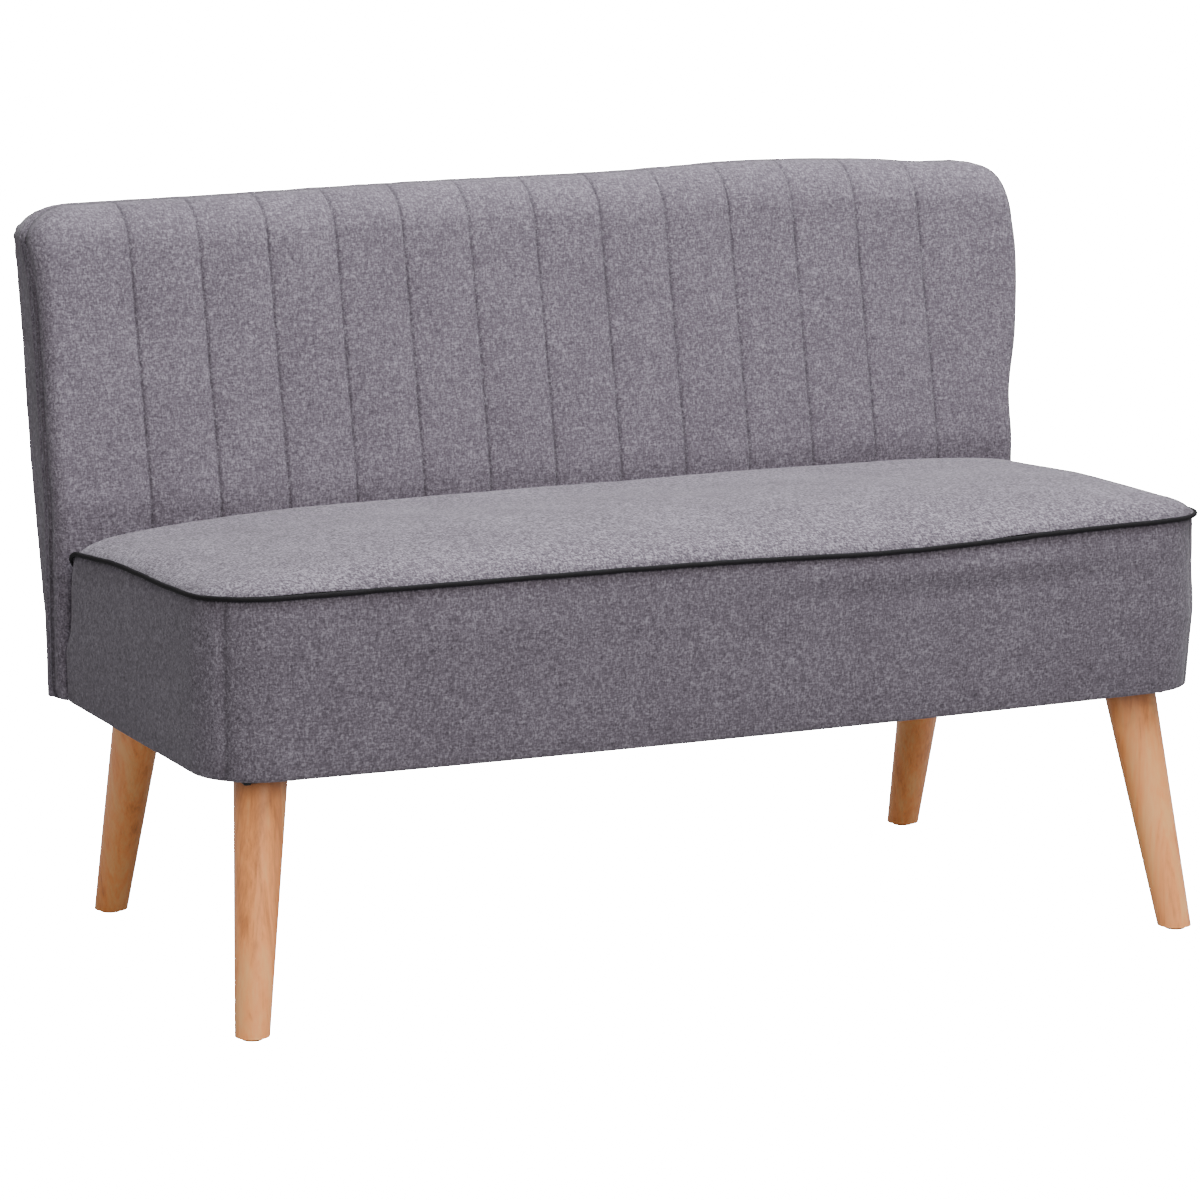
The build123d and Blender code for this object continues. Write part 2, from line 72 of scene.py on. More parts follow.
def shapedGrid(name, across, along, placeAt, flip=False):
    # A grid whose points are moved into shape: placeAt gives a point and its place on the flat cloth
    mesh = bpy.data.meshes.new(name)
    bm = bmesh.new()
    bmesh.ops.create_grid(bm, x_segments=across, y_segments=along, size=0.5)
    uvLayer = bm.loops.layers.uv.new("cloth")
    spots = {}
    for vert in bm.verts:
        i = round((vert.co.x + 0.5) * across)
        j = round((vert.co.y + 0.5) * along)
        vert.co, spots[vert] = placeAt(i, j)
    for face in bm.faces:
        face.smooth = True
        for loop in face.loops:
            loop[uvLayer].uv = spots[loop.vert]
    if flip:
        bmesh.ops.reverse_faces(bm, faces=bm.faces[:])
    bmesh.ops.remove_doubles(bm, verts=bm.verts[:], dist=0.00003)
    bmesh.ops.dissolve_degenerate(bm, edges=bm.edges[:], dist=0.00002)
    bm.to_mesh(mesh)
    bm.free()
    piece = bpy.data.objects.new(name, mesh)
    bpy.context.scene.collection.objects.link(piece)
    return piece


def finishPiece(piece, slotName, material, *nodes):
    piece.data.materials.clear()
    piece.data.materials.append(material)
    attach(piece, "root")
    if nodes:
        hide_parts(*nodes)


def markShade(piece, shadeAt, fleck=1.0):
    # The painted light and shade multiplies the colour, and fleck the cloth's contrast
    flecks = piece.data.attributes.new("fleck", "FLOAT", "POINT")
    flecks.data.foreach_set("value", [fleck] * len(piece.data.vertices))
    colours = piece.data.color_attributes.new("seamShade", "FLOAT_COLOR", "POINT")
    for vertex in piece.data.vertices:
        value = max(0.06, shadeAt(vertex.co))
        colours.data[vertex.index].color = (value, value, value, 1)


# Materials

def newMaterial(name):
    material = bpy.data.materials.new(name)
    material.use_nodes = True
    tree = material.node_tree
    return material, tree, tree.nodes["Principled BSDF"]


def addNode(tree, kind, **values):
    node = tree.nodes.new(kind)
    for key, value in values.items():
        if hasattr(node, key):
            setattr(node, key, value)
        else:
            node.inputs[key.replace("_", " ")].default_value = value
    return node


def newGroup(name, inputs, outputs):
    group = bpy.data.node_groups.new(name, "ShaderNodeTree")
    for label, kind, value in inputs:
        socket = group.interface.new_socket(label, in_out="INPUT", socket_type=kind)
        socket.default_value = value
    for label, kind in outputs:
        group.interface.new_socket(label, in_out="OUTPUT", socket_type=kind)
    return group, group.nodes.new("NodeGroupInput"), group.nodes.new("NodeGroupOutput")


def ramp(tree, stops):
    node = tree.nodes.new("ShaderNodeValToRGB")
    elements = node.color_ramp.elements
    while len(elements) < len(stops):
        elements.new(0.5)
    for element, (place, colour) in zip(elements, stops):
        element.position = place
        element.color = (*colour, 1) if len(colour) == 3 else colour
    return node


def makeClothGroup():
    inputs = [
        ("Vector", "NodeSocketVector", (0, 0, 0)),
        ("Dark", "NodeSocketColor", (0.1, 0.1, 0.1, 1)),
        ("Mid", "NodeSocketColor", (0.2, 0.2, 0.2, 1)),
        ("Light", "NodeSocketColor", (0.4, 0.4, 0.4, 1)),
        ("Relief", "NodeSocketFloat", 1.0),
        ("Fleck", "NodeSocketFloat", 1.0),
    ]
    outputs = [("Color", "NodeSocketColor"), ("Normal", "NodeSocketVector")]
    group, start, end = newGroup("melangeCloth", inputs, outputs)
    link = group.links.new

    def threads(across, along, seed, detail):
        stretch = addNode(group, "ShaderNodeMapping")
        stretch.inputs["Scale"].default_value = (across, along, along)
        stretch.inputs["Location"].default_value = (seed, seed * 2.3, seed * 0.7)
        field = addNode(group, "ShaderNodeTexNoise", Scale=1.0, Detail=detail, Roughness=0.6)
        link(start.outputs["Vector"], stretch.inputs["Vector"])
        link(stretch.outputs["Vector"], field.inputs["Vector"])
        return field.outputs["Fac"]

    def addPart(source, share, total):
        part = addNode(group, "ShaderNodeMath", operation="MULTIPLY_ADD")
        link(source, part.inputs[0])
        part.inputs[1].default_value = share
        part.inputs[2].default_value = 0.0
        if total is not None:
            link(total, part.inputs[2])
        return part.outputs[0]

    middle = 0.67
    total = addPart(threads(620.0, 210.0, 3.1, 1.0), 0.34, None)
    total = addPart(threads(190.0, 600.0, 8.7, 1.0), 0.34, total)
    total = addPart(threads(430.0, 430.0, 5.3, 2.0), 0.42, total)
    total = addPart(threads(130.0, 130.0, 11.9, 2.0), 0.16, total)
    total = addPart(threads(12.0, 12.0, 1.7, 2.0), 0.08, total)
    offset = addNode(group, "ShaderNodeMath", operation="SUBTRACT")
    link(total, offset.inputs[0])
    offset.inputs[1].default_value = middle
    fleck = addNode(group, "ShaderNodeMath", operation="MULTIPLY_ADD")
    link(offset.outputs[0], fleck.inputs[0])
    link(start.outputs["Fleck"], fleck.inputs[1])
    fleck.inputs[2].default_value = middle
    spread = addNode(group, "ShaderNodeMapRange")
    link(fleck.outputs[0], spread.inputs["Value"])
    spread.inputs["From Min"].default_value = middle - 0.19
    spread.inputs["From Max"].default_value = middle + 0.19
    lowHalf = addNode(group, "ShaderNodeMapRange")
    link(spread.outputs["Result"], lowHalf.inputs["Value"])
    lowHalf.inputs["From Max"].default_value = 0.5
    highHalf = addNode(group, "ShaderNodeMapRange")
    link(spread.outputs["Result"], highHalf.inputs["Value"])
    highHalf.inputs["From Min"].default_value = 0.5
    firstMix = addNode(group, "ShaderNodeMix", data_type="RGBA")
    secondMix = addNode(group, "ShaderNodeMix", data_type="RGBA")
    link(lowHalf.outputs["Result"], firstMix.inputs["Factor"])
    link(start.outputs["Dark"], firstMix.inputs["A"])
    link(start.outputs["Mid"], firstMix.inputs["B"])
    link(highHalf.outputs["Result"], secondMix.inputs["Factor"])
    link(firstMix.outputs["Result"], secondMix.inputs["A"])
    link(start.outputs["Light"], secondMix.inputs["B"])
    relief = addNode(group, "ShaderNodeBump", Distance=0.0007)
    link(start.outputs["Relief"], relief.inputs["Strength"])
    link(total, relief.inputs["Height"])
    link(secondMix.outputs["Result"], end.inputs["Color"])
    link(relief.outputs["Normal"], end.inputs["Normal"])
    return group


clothGroup = makeClothGroup()


def clothMaterial(name, values, shade):
    material, tree, shader = newMaterial(name)
    place = addNode(tree, "ShaderNodeTexCoord")
    cloth = addNode(tree, "ShaderNodeGroup")
    cloth.node_tree = clothGroup
    cloth.inputs["Dark"].default_value = (*values["dark"], 1)
    cloth.inputs["Mid"].default_value = (*values["mid"], 1)
    cloth.inputs["Light"].default_value = (*values["light"], 1)
    cloth.inputs["Relief"].default_value = values["relief"]
    tree.links.new(place.outputs["Object"], cloth.inputs["Vector"])
    fleck = addNode(tree, "ShaderNodeAttribute", attribute_name="fleck")
    tree.links.new(fleck.outputs["Fac"], cloth.inputs["Fleck"])
    # The painted light and shade attribute multiplies the cloth colour
    mark = addNode(tree, "ShaderNodeAttribute", attribute_name=shade)
    mix = addNode(tree, "ShaderNodeMix", data_type="RGBA", blend_type="MULTIPLY")
    tree.links.new(cloth.outputs["Color"], mix.inputs["A"])
    tree.links.new(mark.outputs["Color"], mix.inputs["B"])
    mix.inputs["Factor"].default_value = 1.0
    tree.links.new(mix.outputs["Result"], shader.inputs["Base Color"])
    tree.links.new(cloth.outputs["Normal"], shader.inputs["Normal"])
    shader.inputs["Roughness"].default_value = 0.92
    shader.inputs["Specular IOR Level"].default_value = 0.2
    shader.inputs["Sheen Weight"].default_value = values["sheen"]
    shader.inputs["Sheen Roughness"].default_value = 0.45
    return material


upholstery = {
    "dark": (0.060, 0.050, 0.061),
    "mid": (0.136, 0.116, 0.139),
    "light": (0.290, 0.262, 0.300),
    "sheen": 0.14,
    "relief": 0.7,
}
greyCloth = clothMaterial("greyMelange", upholstery, "seamShade")


def plainCloth(name, colour, roughness, scale):
    material, tree, shader = newMaterial(name)
    place = addNode(tree, "ShaderNodeTexCoord")
    field = addNode(tree, "ShaderNodeTexNoise", Scale=scale, Detail=4.0, Roughness=0.6)
    tree.links.new(place.outputs["Object"], field.inputs["Vector"])
    tone = ramp(tree, [(0.3, tuple(c * 0.6 for c in colour)), (0.7, tuple(min(1, c * 1.5) for c in colour))])
    tree.links.new(field.outputs["Fac"], tone.inputs["Fac"])
    tree.links.new(tone.outputs["Color"], shader.inputs["Base Color"])
    relief = addNode(tree, "ShaderNodeBump", Strength=0.35, Distance=0.0005)
    tree.links.new(field.outputs["Fac"], relief.inputs["Height"])
    tree.links.new(relief.outputs["Normal"], shader.inputs["Normal"])
    shader.inputs["Roughness"].default_value = roughness
    shader.inputs["Specular IOR Level"].default_value = 0.2
    return material


pipingCloth = plainCloth("blackPiping", (0.008, 0.007, 0.008), 0.8, 900)
dustMaterial = plainCloth("blackDustCloth", (0.018, 0.018, 0.019), 0.95, 700)


def woodMaterial(name, values):
    material, tree, shader = newMaterial(name)
    place = addNode(tree, "ShaderNodeTexCoord")
    along = addNode(tree, "ShaderNodeMapping")
    along.inputs["Scale"].default_value = (1.0, 1.0, 0.07)
    warp = addNode(tree, "ShaderNodeTexNoise", Scale=9.0, Detail=3.0, Roughness=0.5)
    tree.links.new(place.outputs["Object"], along.inputs["Vector"])
    tree.links.new(along.outputs["Vector"], warp.inputs["Vector"])
    scale = values["grain"]
    grain = addNode(tree, "ShaderNodeTexNoise", Scale=scale, Detail=6.0, Roughness=0.62, Distortion=0.6)
    tree.links.new(along.outputs["Vector"], grain.inputs["Vector"])
    pores = addNode(tree, "ShaderNodeTexNoise", Scale=scale * 7, Detail=3.0, Roughness=0.7)
    tree.links.new(along.outputs["Vector"], pores.inputs["Vector"])
    mixed = addNode(tree, "ShaderNodeMath", operation="MULTIPLY_ADD")
    tree.links.new(pores.outputs["Fac"], mixed.inputs[0])
    mixed.inputs[1].default_value = 0.32
    tree.links.new(grain.outputs["Fac"], mixed.inputs[2])
    total = addNode(tree, "ShaderNodeMath", operation="MULTIPLY_ADD")
    tree.links.new(warp.outputs["Fac"], total.inputs[0])
    total.inputs[1].default_value = 0.45
    tree.links.new(mixed.outputs[0], total.inputs[2])
    tone = ramp(tree, list(zip((0.60, 0.82, 1.0), values["colours"])))
    tree.links.new(total.outputs[0], tone.inputs["Fac"])
    colour = tone.outputs["Color"]
    if values["topShade"]:
        # Painted shade: the wood is darkened towards the plates, where the legs stand under the seat, with a
        # noisy edge
        split = addNode(tree, "ShaderNodeSeparateXYZ")
        tree.links.new(place.outputs["Object"], split.inputs["Vector"])
        shadeEdgeNoise = addNode(tree, "ShaderNodeTexNoise", Scale=26.0, Detail=3.0, Roughness=0.6, Distortion=0.8)
        tree.links.new(place.outputs["Object"], shadeEdgeNoise.inputs["Vector"])
        reach = addNode(tree, "ShaderNodeMath", operation="MULTIPLY_ADD")
        tree.links.new(shadeEdgeNoise.outputs["Fac"], reach.inputs[0])
        reach.inputs[1].default_value = 0.05
        tree.links.new(split.outputs["Z"], reach.inputs[2])
        near = addNode(tree, "ShaderNodeMapRange", interpolation_type="SMOOTHSTEP")
        tree.links.new(reach.outputs[0], near.inputs["Value"])
        near.inputs["From Min"].default_value = 0.238
        near.inputs["From Max"].default_value = 0.300
        near.inputs["To Max"].default_value = values["topShade"]
        darken = addNode(tree, "ShaderNodeMix", data_type="RGBA")
        tree.links.new(near.outputs["Result"], darken.inputs["Factor"])
        tree.links.new(colour, darken.inputs["A"])
        darken.inputs["B"].default_value = (*values["topShadeColour"], 1)
        colour = darken.outputs["Result"]
    tree.links.new(colour, shader.inputs["Base Color"])
    relief = addNode(tree, "ShaderNodeBump", Strength=0.12, Distance=0.0004)
    tree.links.new(mixed.outputs[0], relief.inputs["Height"])
    tree.links.new(relief.outputs["Normal"], shader.inputs["Normal"])
    shader.inputs["Roughness"].default_value = values["roughness"]
    shader.inputs["Coat Weight"].default_value = values["coat"]
    shader.inputs["Coat Roughness"].default_value = 0.25
    return material


legLook = {
    "colours": [(0.58, 0.190, 0.050), (1.0, 0.360, 0.105), (1.0, 0.460, 0.160)],
    # Colour of the painted shade at the top of the legs
    "topShadeColour": (0.22, 0.075, 0.025),
    "topShade": 0.75,
    "grain": 60.0,
    "roughness": 0.42,
    "coat": 0.25,
}
frameLook = {
    "colours": [(0.45, 0.30, 0.17), (0.60, 0.44, 0.27), (0.72, 0.56, 0.38)],
    "topShade": 0.0,
    "grain": 40.0,
    "roughness": 0.75,
    "coat": 0.0,
}
plyLook = dict(frameLook, colours=[(0.40, 0.27, 0.16), (0.52, 0.37, 0.23), (0.62, 0.47, 0.31)], grain=25.0)
legWood = woodMaterial("lacqueredLegWood", legLook)
rawWood = woodMaterial("rawFrameWood", frameLook)
plyWood = woodMaterial("rawPlywood", plyLook)


def hardMaterial(name, colour, metallic, roughness, scale):
    material, tree, shader = newMaterial(name)
    place = addNode(tree, "ShaderNodeTexCoord")
    field = addNode(tree, "ShaderNodeTexNoise", Scale=scale, Detail=4.0, Roughness=0.6)
    tree.links.new(place.outputs["Object"], field.inputs["Vector"])
    darker, lighter = tuple(c * 0.8 for c in colour), tuple(min(1, c * 1.2) for c in colour)
    tone = ramp(tree, [(0.35, darker), (0.65, lighter)])
    tree.links.new(field.outputs["Fac"], tone.inputs["Fac"])
    tree.links.new(tone.outputs["Color"], shader.inputs["Base Color"])
    rough = addNode(tree, "ShaderNodeMapRange")
    tree.links.new(field.outputs["Fac"], rough.inputs["Value"])
    rough.inputs["To Min"].default_value = roughness * 0.8
    rough.inputs["To Max"].default_value = min(1, roughness * 1.25)
    tree.links.new(rough.outputs["Result"], shader.inputs["Roughness"])
    shader.inputs["Metallic"].default_value = metallic
    return material


blackSteel = hardMaterial("blackPlateSteel", (0.010, 0.010, 0.011), 0.3, 0.5, 300)
platedSteel = hardMaterial("zincPlatedSteel", (0.55, 0.55, 0.52), 1.0, 0.35, 240)
springSteel = hardMaterial("oiledSpringSteel", (0.22, 0.22, 0.23), 1.0, 0.4, 260)
glidePlastic = hardMaterial("blackGlidePlastic", (0.014, 0.013, 0.013), 0.0, 0.55, 400)
print("materials made")


# Seat

seat = {
    "half": 0.582,
    "frontLine": -0.300,
    "bow": 0.015,
    "corner": 0.075,
    "rear": 0.14375,
    "edgeHeight": 0.459,
    "fall": 0.05,
    "underside": 0.268,
    "crown": 0.025,
    "edgeRoll": 0.012,
    "edgeRollReach": 0.018,
    "endLift": 0.005,
    "endOut": 0.0055,
    "rearRounding": 0.046,
    "rearCorner": 0.022,
    "cornerStart": 0.325,
    "cornerEnd": 0.38,
    "rearFlap": 0.03,
    "sideLift": 0.004,
    "frontDip": 0.0065,
    "dipPlace": 0.20,
    "dipWidth": 0.17,
    "welt": 0.0033,
}


def seatPlan():
    half, bow, corner = seat["half"], seat["bow"], seat["corner"]
    bowRadius = (half**2 + bow**2) / (2 * bow)
    bowY = seat["frontLine"] - bow + bowRadius
    cornerX = half - corner
    cornerY = bowY - math.sqrt((bowRadius - corner) ** 2 - cornerX**2)
    out = bowRadius / (bowRadius - corner)
    touch = (cornerX * out, bowY + (cornerY - bowY) * out)
    return bowRadius, bowY, cornerX, cornerY, touch


bowRadius, bowY, cornerX, cornerY, touch = seatPlan()


def frontAt(x):
    at = abs(x)
    if at <= touch[0]:
        return bowY - math.sqrt(bowRadius**2 - at**2)
    across = min(at - cornerX, seat["corner"])
    return cornerY - math.sqrt(seat["corner"] ** 2 - across**2)


def edgeZ(x, y):
    flat = seat["edgeHeight"] - seat["fall"] * (y - seat["frontLine"])
    near = 1 - smoothStep(y, seat["frontLine"], seat["frontLine"] + 0.12)
    side = smoothStep(abs(x), seat["half"] - 0.15, seat["half"]) * bump(y, -0.03, 0.09)
    dip = seat["frontDip"] * bump(x, seat["dipPlace"], seat["dipWidth"]) * near
    return flat - dip + seat["sideLift"] * side


def cornered(x, y, share=1.0, z=1.0):
    # The upright rear corners of the seat are rounded in plan, and the right end stands out a little
    radius = seat["rearCorner"]
    over = min(radius, max(0, y - (seat["rear"] - radius)))
    inward = radius - math.sqrt(radius**2 - over**2)
    # The frame fills the corner below
    inward *= smoothStep(z, seat["cornerStart"], seat["cornerEnd"])
    inward *= smoothStep(abs(x), seat["half"] - 0.08, seat["half"] - 0.004)
    return x - math.copysign(inward, x) + seat["endOut"] * share * smoothStep(x, 0.48, 0.575)


arcRadius = seat["rearRounding"]
arcY = seat["rear"] + seat["welt"] - arcRadius
arcZ = edgeZ(seat["half"], arcY) - arcRadius


def weltZ(x, y):
    if y <= arcY:
        return edgeZ(x, y)
    over = min(y - arcY, arcRadius)
    return arcZ + math.sqrt(arcRadius**2 - over**2) * (edgeZ(x, arcY) - arcZ) / arcRadius


def leftRoute(step):
    # Places along the seat's edge from the rear left corner to the front middle, with their outward way
    places = []
    for number in range(13):
        turn = math.pi / 2 * number / 12
        y = arcY + (seat["rear"] - arcY) * math.cos(turn)
        places.append((-seat["half"], y, -1, 0))
    count = max(2, round((arcY - cornerY) / step))
    for number in range(1, count + 1):
        places.append((-seat["half"], arcY + (cornerY - arcY) * number / count, -1, 0))
    turnAll = math.pi / 2 - math.asin(touch[0] / bowRadius)
    for number in range(1, 31):
        turn = turnAll * number / 30
        normal = (-math.cos(turn), -math.sin(turn))
        places.append((-cornerX + normal[0] * seat["corner"], cornerY + normal[1] * seat["corner"], *normal))
    count = round(touch[0] / step)
    for number in range(1, count + 1):
        x = -touch[0] * (1 - number / count)
        y = frontAt(x)
        length = math.hypot(x, bowY - y)
        places.append((x, y, x / length, -(bowY - y) / length))
    return places


def seatRoute(step):
    left = leftRoute(step)
    places = left + [(-x, y, -nx, ny) for x, y, nx, ny in reversed(left[:-1])]
    lengths = [0]
    for a, b in zip(places, places[1:]):
        lengths.append(lengths[-1] + math.hypot(b[0] - a[0], b[1] - a[1]))
    return places, lengths


boxing = {
    "belly": 0.0028,
    "tuck": 0.0026,
    "tuckReach": 0.006,
    "bottomRounding": 0.0030,
    "underFold": 0.022,
    "pucker": 0.0010,
    "puckerReach": 0.030,
    "seamDepth": 0.0020,
    "seamWidth": 0.0030,
    "seamTurn": 0.74,
    "sag": 0.0034,
}
route, routeLengths = seatRoute(0.005)
seamPlan = (
    cornerX + seat["corner"] * math.cos(boxing["seamTurn"]),
    cornerY - seat["corner"] * math.sin(boxing["seamTurn"]),
)
cornerSeams = []
for seamSide in (-1, 1):
    gaps = [math.hypot(place[0] - seamSide * seamPlan[0], place[1] - seamPlan[1]) for place in route]
    cornerSeams.append(routeLengths[gaps.index(min(gaps))])


def boxingPush(x, y, z, top, length):
    height = top - seat["underside"]
    up = (z - seat["underside"]) / height
    push = boxing["belly"] * math.sin(math.pi * min(1, max(0, up))) ** 0.7
    fromTop = top - z
    push -= boxing["tuck"] * math.exp(-fromTop / boxing["tuckReach"])
    ripple = wander(length, 0.0, z * 0.35, 0.017, 2.0) + 0.6 * wander(length, 0.0, z * 0.3, 0.008, 5.0)
    push += boxing["pucker"] * ripple * math.exp(-fromTop / boxing["puckerReach"])
    push += 0.0012 * wander(length, 0, z, 0.12, 9.0) + 0.0005 * wander(length, 0, z * 0.6, 0.03, 4.0)
    for seamLength in cornerSeams:
        away = length - seamLength
        push -= boxing["seamDepth"] * math.exp(-abs(away) / boxing["seamWidth"])
        puckered = wander(z, away * 0.3, 0, 0.011, 7.0)
        push += 0.0009 * puckered * math.exp(-abs(away) / 0.012)
    if y < cornerY:
        # The slack cloth under the piping bulges, with a shallow crease below
        slope = 0.034 + 0.022 * (x - 0.1)
        push -= boxing["sag"] * 0.7 * bump(fromTop, slope + 0.010, 0.010) * bump(x, 0.28, 0.15)
        push += boxing["sag"] * bump(fromTop, slope - 0.014, 0.014) * bump(x, 0.28, 0.20)
        push += 0.0016 * bump(fromTop, 0.05, 0.02) * bump(x, -0.30, 0.2)
    return push


def boxingStations():
    # The cloth turns in behind the seat at both rear corners
    turnIns = [(0.030, 0.0060), (0.0075, 0.0060), (0.003, 0.0050), (0.0006, 0.0025)]
    plain = [(x, y, nx, ny, length, 0.0, 0.0) for (x, y, nx, ny), length in zip(route, routeLengths)]
    left = [(*plain[0][:4], -dx - 0.004, dx, dy) for dx, dy in turnIns]
    right = [(*plain[-1][:4], plain[-1][4] + dx + 0.004, -dx, dy) for dx, dy in reversed(turnIns)]
    return left + plain + right


def makeBoxing():
    under, rounding, fold = seat["underside"], boxing["bottomRounding"], boxing["underFold"]
    levels = [(fold, 0.0, 0.0), (fold / 2, 0.0, 0.0), (rounding, 0.0, 0.0)]
    for turn in (0.5, 1.0):
        levels.append((rounding * (1 - math.sin(turn)), rounding * (1 - math.cos(turn)), 0.0))
    shares = [0, 0.012, 0.03, 0.055, 0.09] + [0.13 + 0.60 * n / 20 for n in range(21)]
    shares += [0.73 + 0.20 * n / 14 for n in range(1, 15)] + [0.945, 0.96, 0.972, 0.982, 0.99, 0.996, 1.0]
    levels += [(0.0, rounding, share) for share in shares]
    stations = boxingStations()

    def placeAt(i, j):
        x, y, nx, ny, length, inX, inY = stations[i]
        inward, lift, share = levels[j]
        top = weltZ(x, y) - seat["welt"] * 0.4
        z = under + lift + (top - under - rounding) * share
        push = -inward if inward else boxingPush(x, y, z, top, length)
        if inX:
            push = min(0, push)
        out = math.exp(-(top - z) / 0.02) + 0.5 * bump(z, 0.35, 0.03)
        return (cornered(x, y, out, z) + nx * push + inX, y + ny * push + inY, z), (length, z - inward)

    return shapedGrid("seatBoxing", len(stations) - 1, len(levels) - 1, placeAt)


# Painted light and shade on the boxing, multiplied into the cloth colour
def boxingShade(p):
    away = math.hypot(abs(p.x) - seamPlan[0], p.y - seamPlan[1])
    # The panel darkened a little overall, and painted shade in the corner seams' crease
    value = 0.95 - 0.57 * math.exp(-(away / 0.0022) ** 2) * (p.z > 0.27)
    # Painted highlight on the cloth beside the corner seams
    value += 0.12 * bump(away, 0.0075, 0.004) * (abs(p.x) > seamPlan[0])
    fromTop = max(0, weltZ(p.x, p.y) - p.z)
    # Painted shade under the piping
    value -= 0.30 * math.exp(-max(0, fromTop - 0.002) / 0.003)
    # Painted shade towards the bottom of the boxing
    value -= 0.10 * smoothStep(0.31 - p.z, 0, 0.05)
    return value


seatBoxing = makeBoxing()
markShade(seatBoxing, boxingShade)
finishPiece(seatBoxing, "upholstery_fabric", greyCloth, "seat_boxing")
print("seat boxing made")


def edgeDistance(x, y):
    at = abs(x)
    if at > cornerX and y < cornerY:
        return seat["corner"] - math.hypot(at - cornerX, y - cornerY)
    soft = 0.02
    near = math.exp(-(seat["half"] - at) / soft) + math.exp(-(y - frontAt(x)) / soft)
    return -soft * math.log(near)


def seatTopZ(x, y):
    gap = max(0, edgeDistance(x, y))
    start, end = seat["frontLine"] - seat["bow"], seat["rear"] - seat["rearRounding"]
    along = (y - start) / (end - start)
    middle = max(0, 1 - (2 * along - 1) ** 2)
    hold = max(0, along - 0.5) * 2
    rearPart = smoothStep(along, 0.5, 1.0)
    crown = middle**0.8 * (1 - rearPart) + rearPart * (1 - 0.16 * hold)
    across = 1 - abs(x / seat["half"]) ** 4
    z = edgeZ(x, min(y, end)) + 0.0008
    roll = seat["edgeRoll"] + seat["endLift"] * smoothStep(x, 0.30, 0.52)
    z += roll * (1 - math.exp(-gap / seat["edgeRollReach"]))
    z += seat["crown"] * crown * across
    puckers = wander(x, y, 0, 0.014, 3.0) + 0.5 * wander(x, y, 0, 0.007, 6.0)
    z += 0.0008 * puckers * math.exp(-gap / 0.016) * smoothStep(gap, 0, 0.004)
    z += 0.0013 * wander(x, y, 0, 0.16, 1.0) + 0.0005 * wander(x, y, 0, 0.045, 8.0)
    return z


def seatColumns():
    half = seat["half"]
    steps = [0, 0.0012, 0.003, 0.0055, 0.009, 0.013, 0.018, 0.024, 0.031, 0.039, 0.048]
    left = [-half + step for step in steps]
    inner = [-half + 0.054 + (2 * half - 0.108) * n / 190 for n in range(191)]
    return left + inner + [-x for x in reversed(left)]


def makeSeatTop():
    rounding = seat["rearRounding"]
    columns = seatColumns()
    frontGaps = [0, 0.0012, 0.003, 0.0055, 0.009, 0.013, 0.018, 0.024, 0.031]
    end = seat["rear"] - rounding
    spread, turns = 71, 10

    def placeAt(i, j):
        x = columns[i]
        front = frontAt(x)
        if j < len(frontGaps):
            y = front + frontGaps[j]
            return (cornered(x, y), y, seatTopZ(x, y)), (x, y)
        j -= len(frontGaps)
        if j < spread:
            y = front + 0.037 + (end - front - 0.037) * j / (spread - 1)
            return (cornered(x, y), y, seatTopZ(x, y)), (x, y)
        j -= spread
        topZ = seatTopZ(x, end)
        if j < turns:
            turn = math.pi / 2 * (j + 1) / turns
            y = end + rounding * math.sin(turn)
            point = (cornered(x, y), y, topZ - rounding * (1 - math.cos(turn)))
            return point, (x, end + rounding * turn)
        point = (cornered(x, seat["rear"]), seat["rear"], topZ - rounding - seat["rearFlap"])
        return point, (x, end + rounding * 1.57 + seat["rearFlap"])

    return shapedGrid("seatTop", len(columns) - 1, len(frontGaps) + spread + turns, placeAt)


seatTop = makeSeatTop()
# Painted light and shade on the seat top: the whole top brightened as lit from above, with painted shade in
# the crease along the piping
markShade(seatTop, lambda p: 1.1 - 0.35 * math.exp(-max(0, edgeDistance(p.x, p.y) - 0.002) / 0.003), 1.6)
finishPiece(seatTop, "upholstery_fabric", greyCloth, "seat_top_cover", "seat_foam", "seat_felt")
print("seat top made")


piping = {"radius": 0.0027, "tail": 0.020, "stand": 0.0010, "wave": 0.0006}


def makePiping():
    places = []
    for x, y, nx, ny in route:
        stand = piping["stand"] + piping["wave"] * wander(x, y, 0, 0.05, 11.0)
        rearLift = seat["welt"] * smoothStep(y, arcY, seat["rear"])
        z = weltZ(x, y) + piping["wave"] * wander(x, y, 0, 0.03, 13.0)
        places.append((cornered(x, y) + nx * stand, y + ny * stand + rearLift, z))
    places.insert(0, (places[0][0], places[0][1], places[0][2] - piping["tail"]))
    places.append((places[-1][0], places[-1][1], places[-1][2] - piping["tail"]))
    curve = bpy.data.curves.new("pipingCurve", "CURVE")
    curve.dimensions = "3D"
    curve.bevel_depth = piping["radius"]
    curve.bevel_resolution = 3
    curve.use_fill_caps = True
    line = curve.splines.new("POLY")
    line.points.add(len(places) - 1)
    for point, place in zip(line.points, places):
        point.co = (*place, 1)
    cord = bpy.data.objects.new("pipingCurve", curve)
    bpy.context.scene.collection.objects.link(cord)
    ready = cord.evaluated_get(bpy.context.evaluated_depsgraph_get())
    mesh = bpy.data.meshes.new_from_object(ready)
    mesh.name = "seatPiping"
    bpy.data.objects.remove(cord)
    bm = bmesh.new()
    bm.from_mesh(mesh)
    bmesh.ops.remove_doubles(bm, verts=bm.verts[:], dist=0.00001)
    bmesh.ops.recalc_face_normals(bm, faces=bm.faces[:])
    for face in bm.faces:
        face.smooth = len(face.verts) < 5
    bm.to_mesh(mesh)
    bm.free()
    piece = bpy.data.objects.new("seatPiping", mesh)
    bpy.context.scene.collection.objects.link(piece)
    return piece


seatPiping = makePiping()
finishPiece(seatPiping, "piping_fabric", pipingCloth, "seat_piping")
print("piping made")


# Back

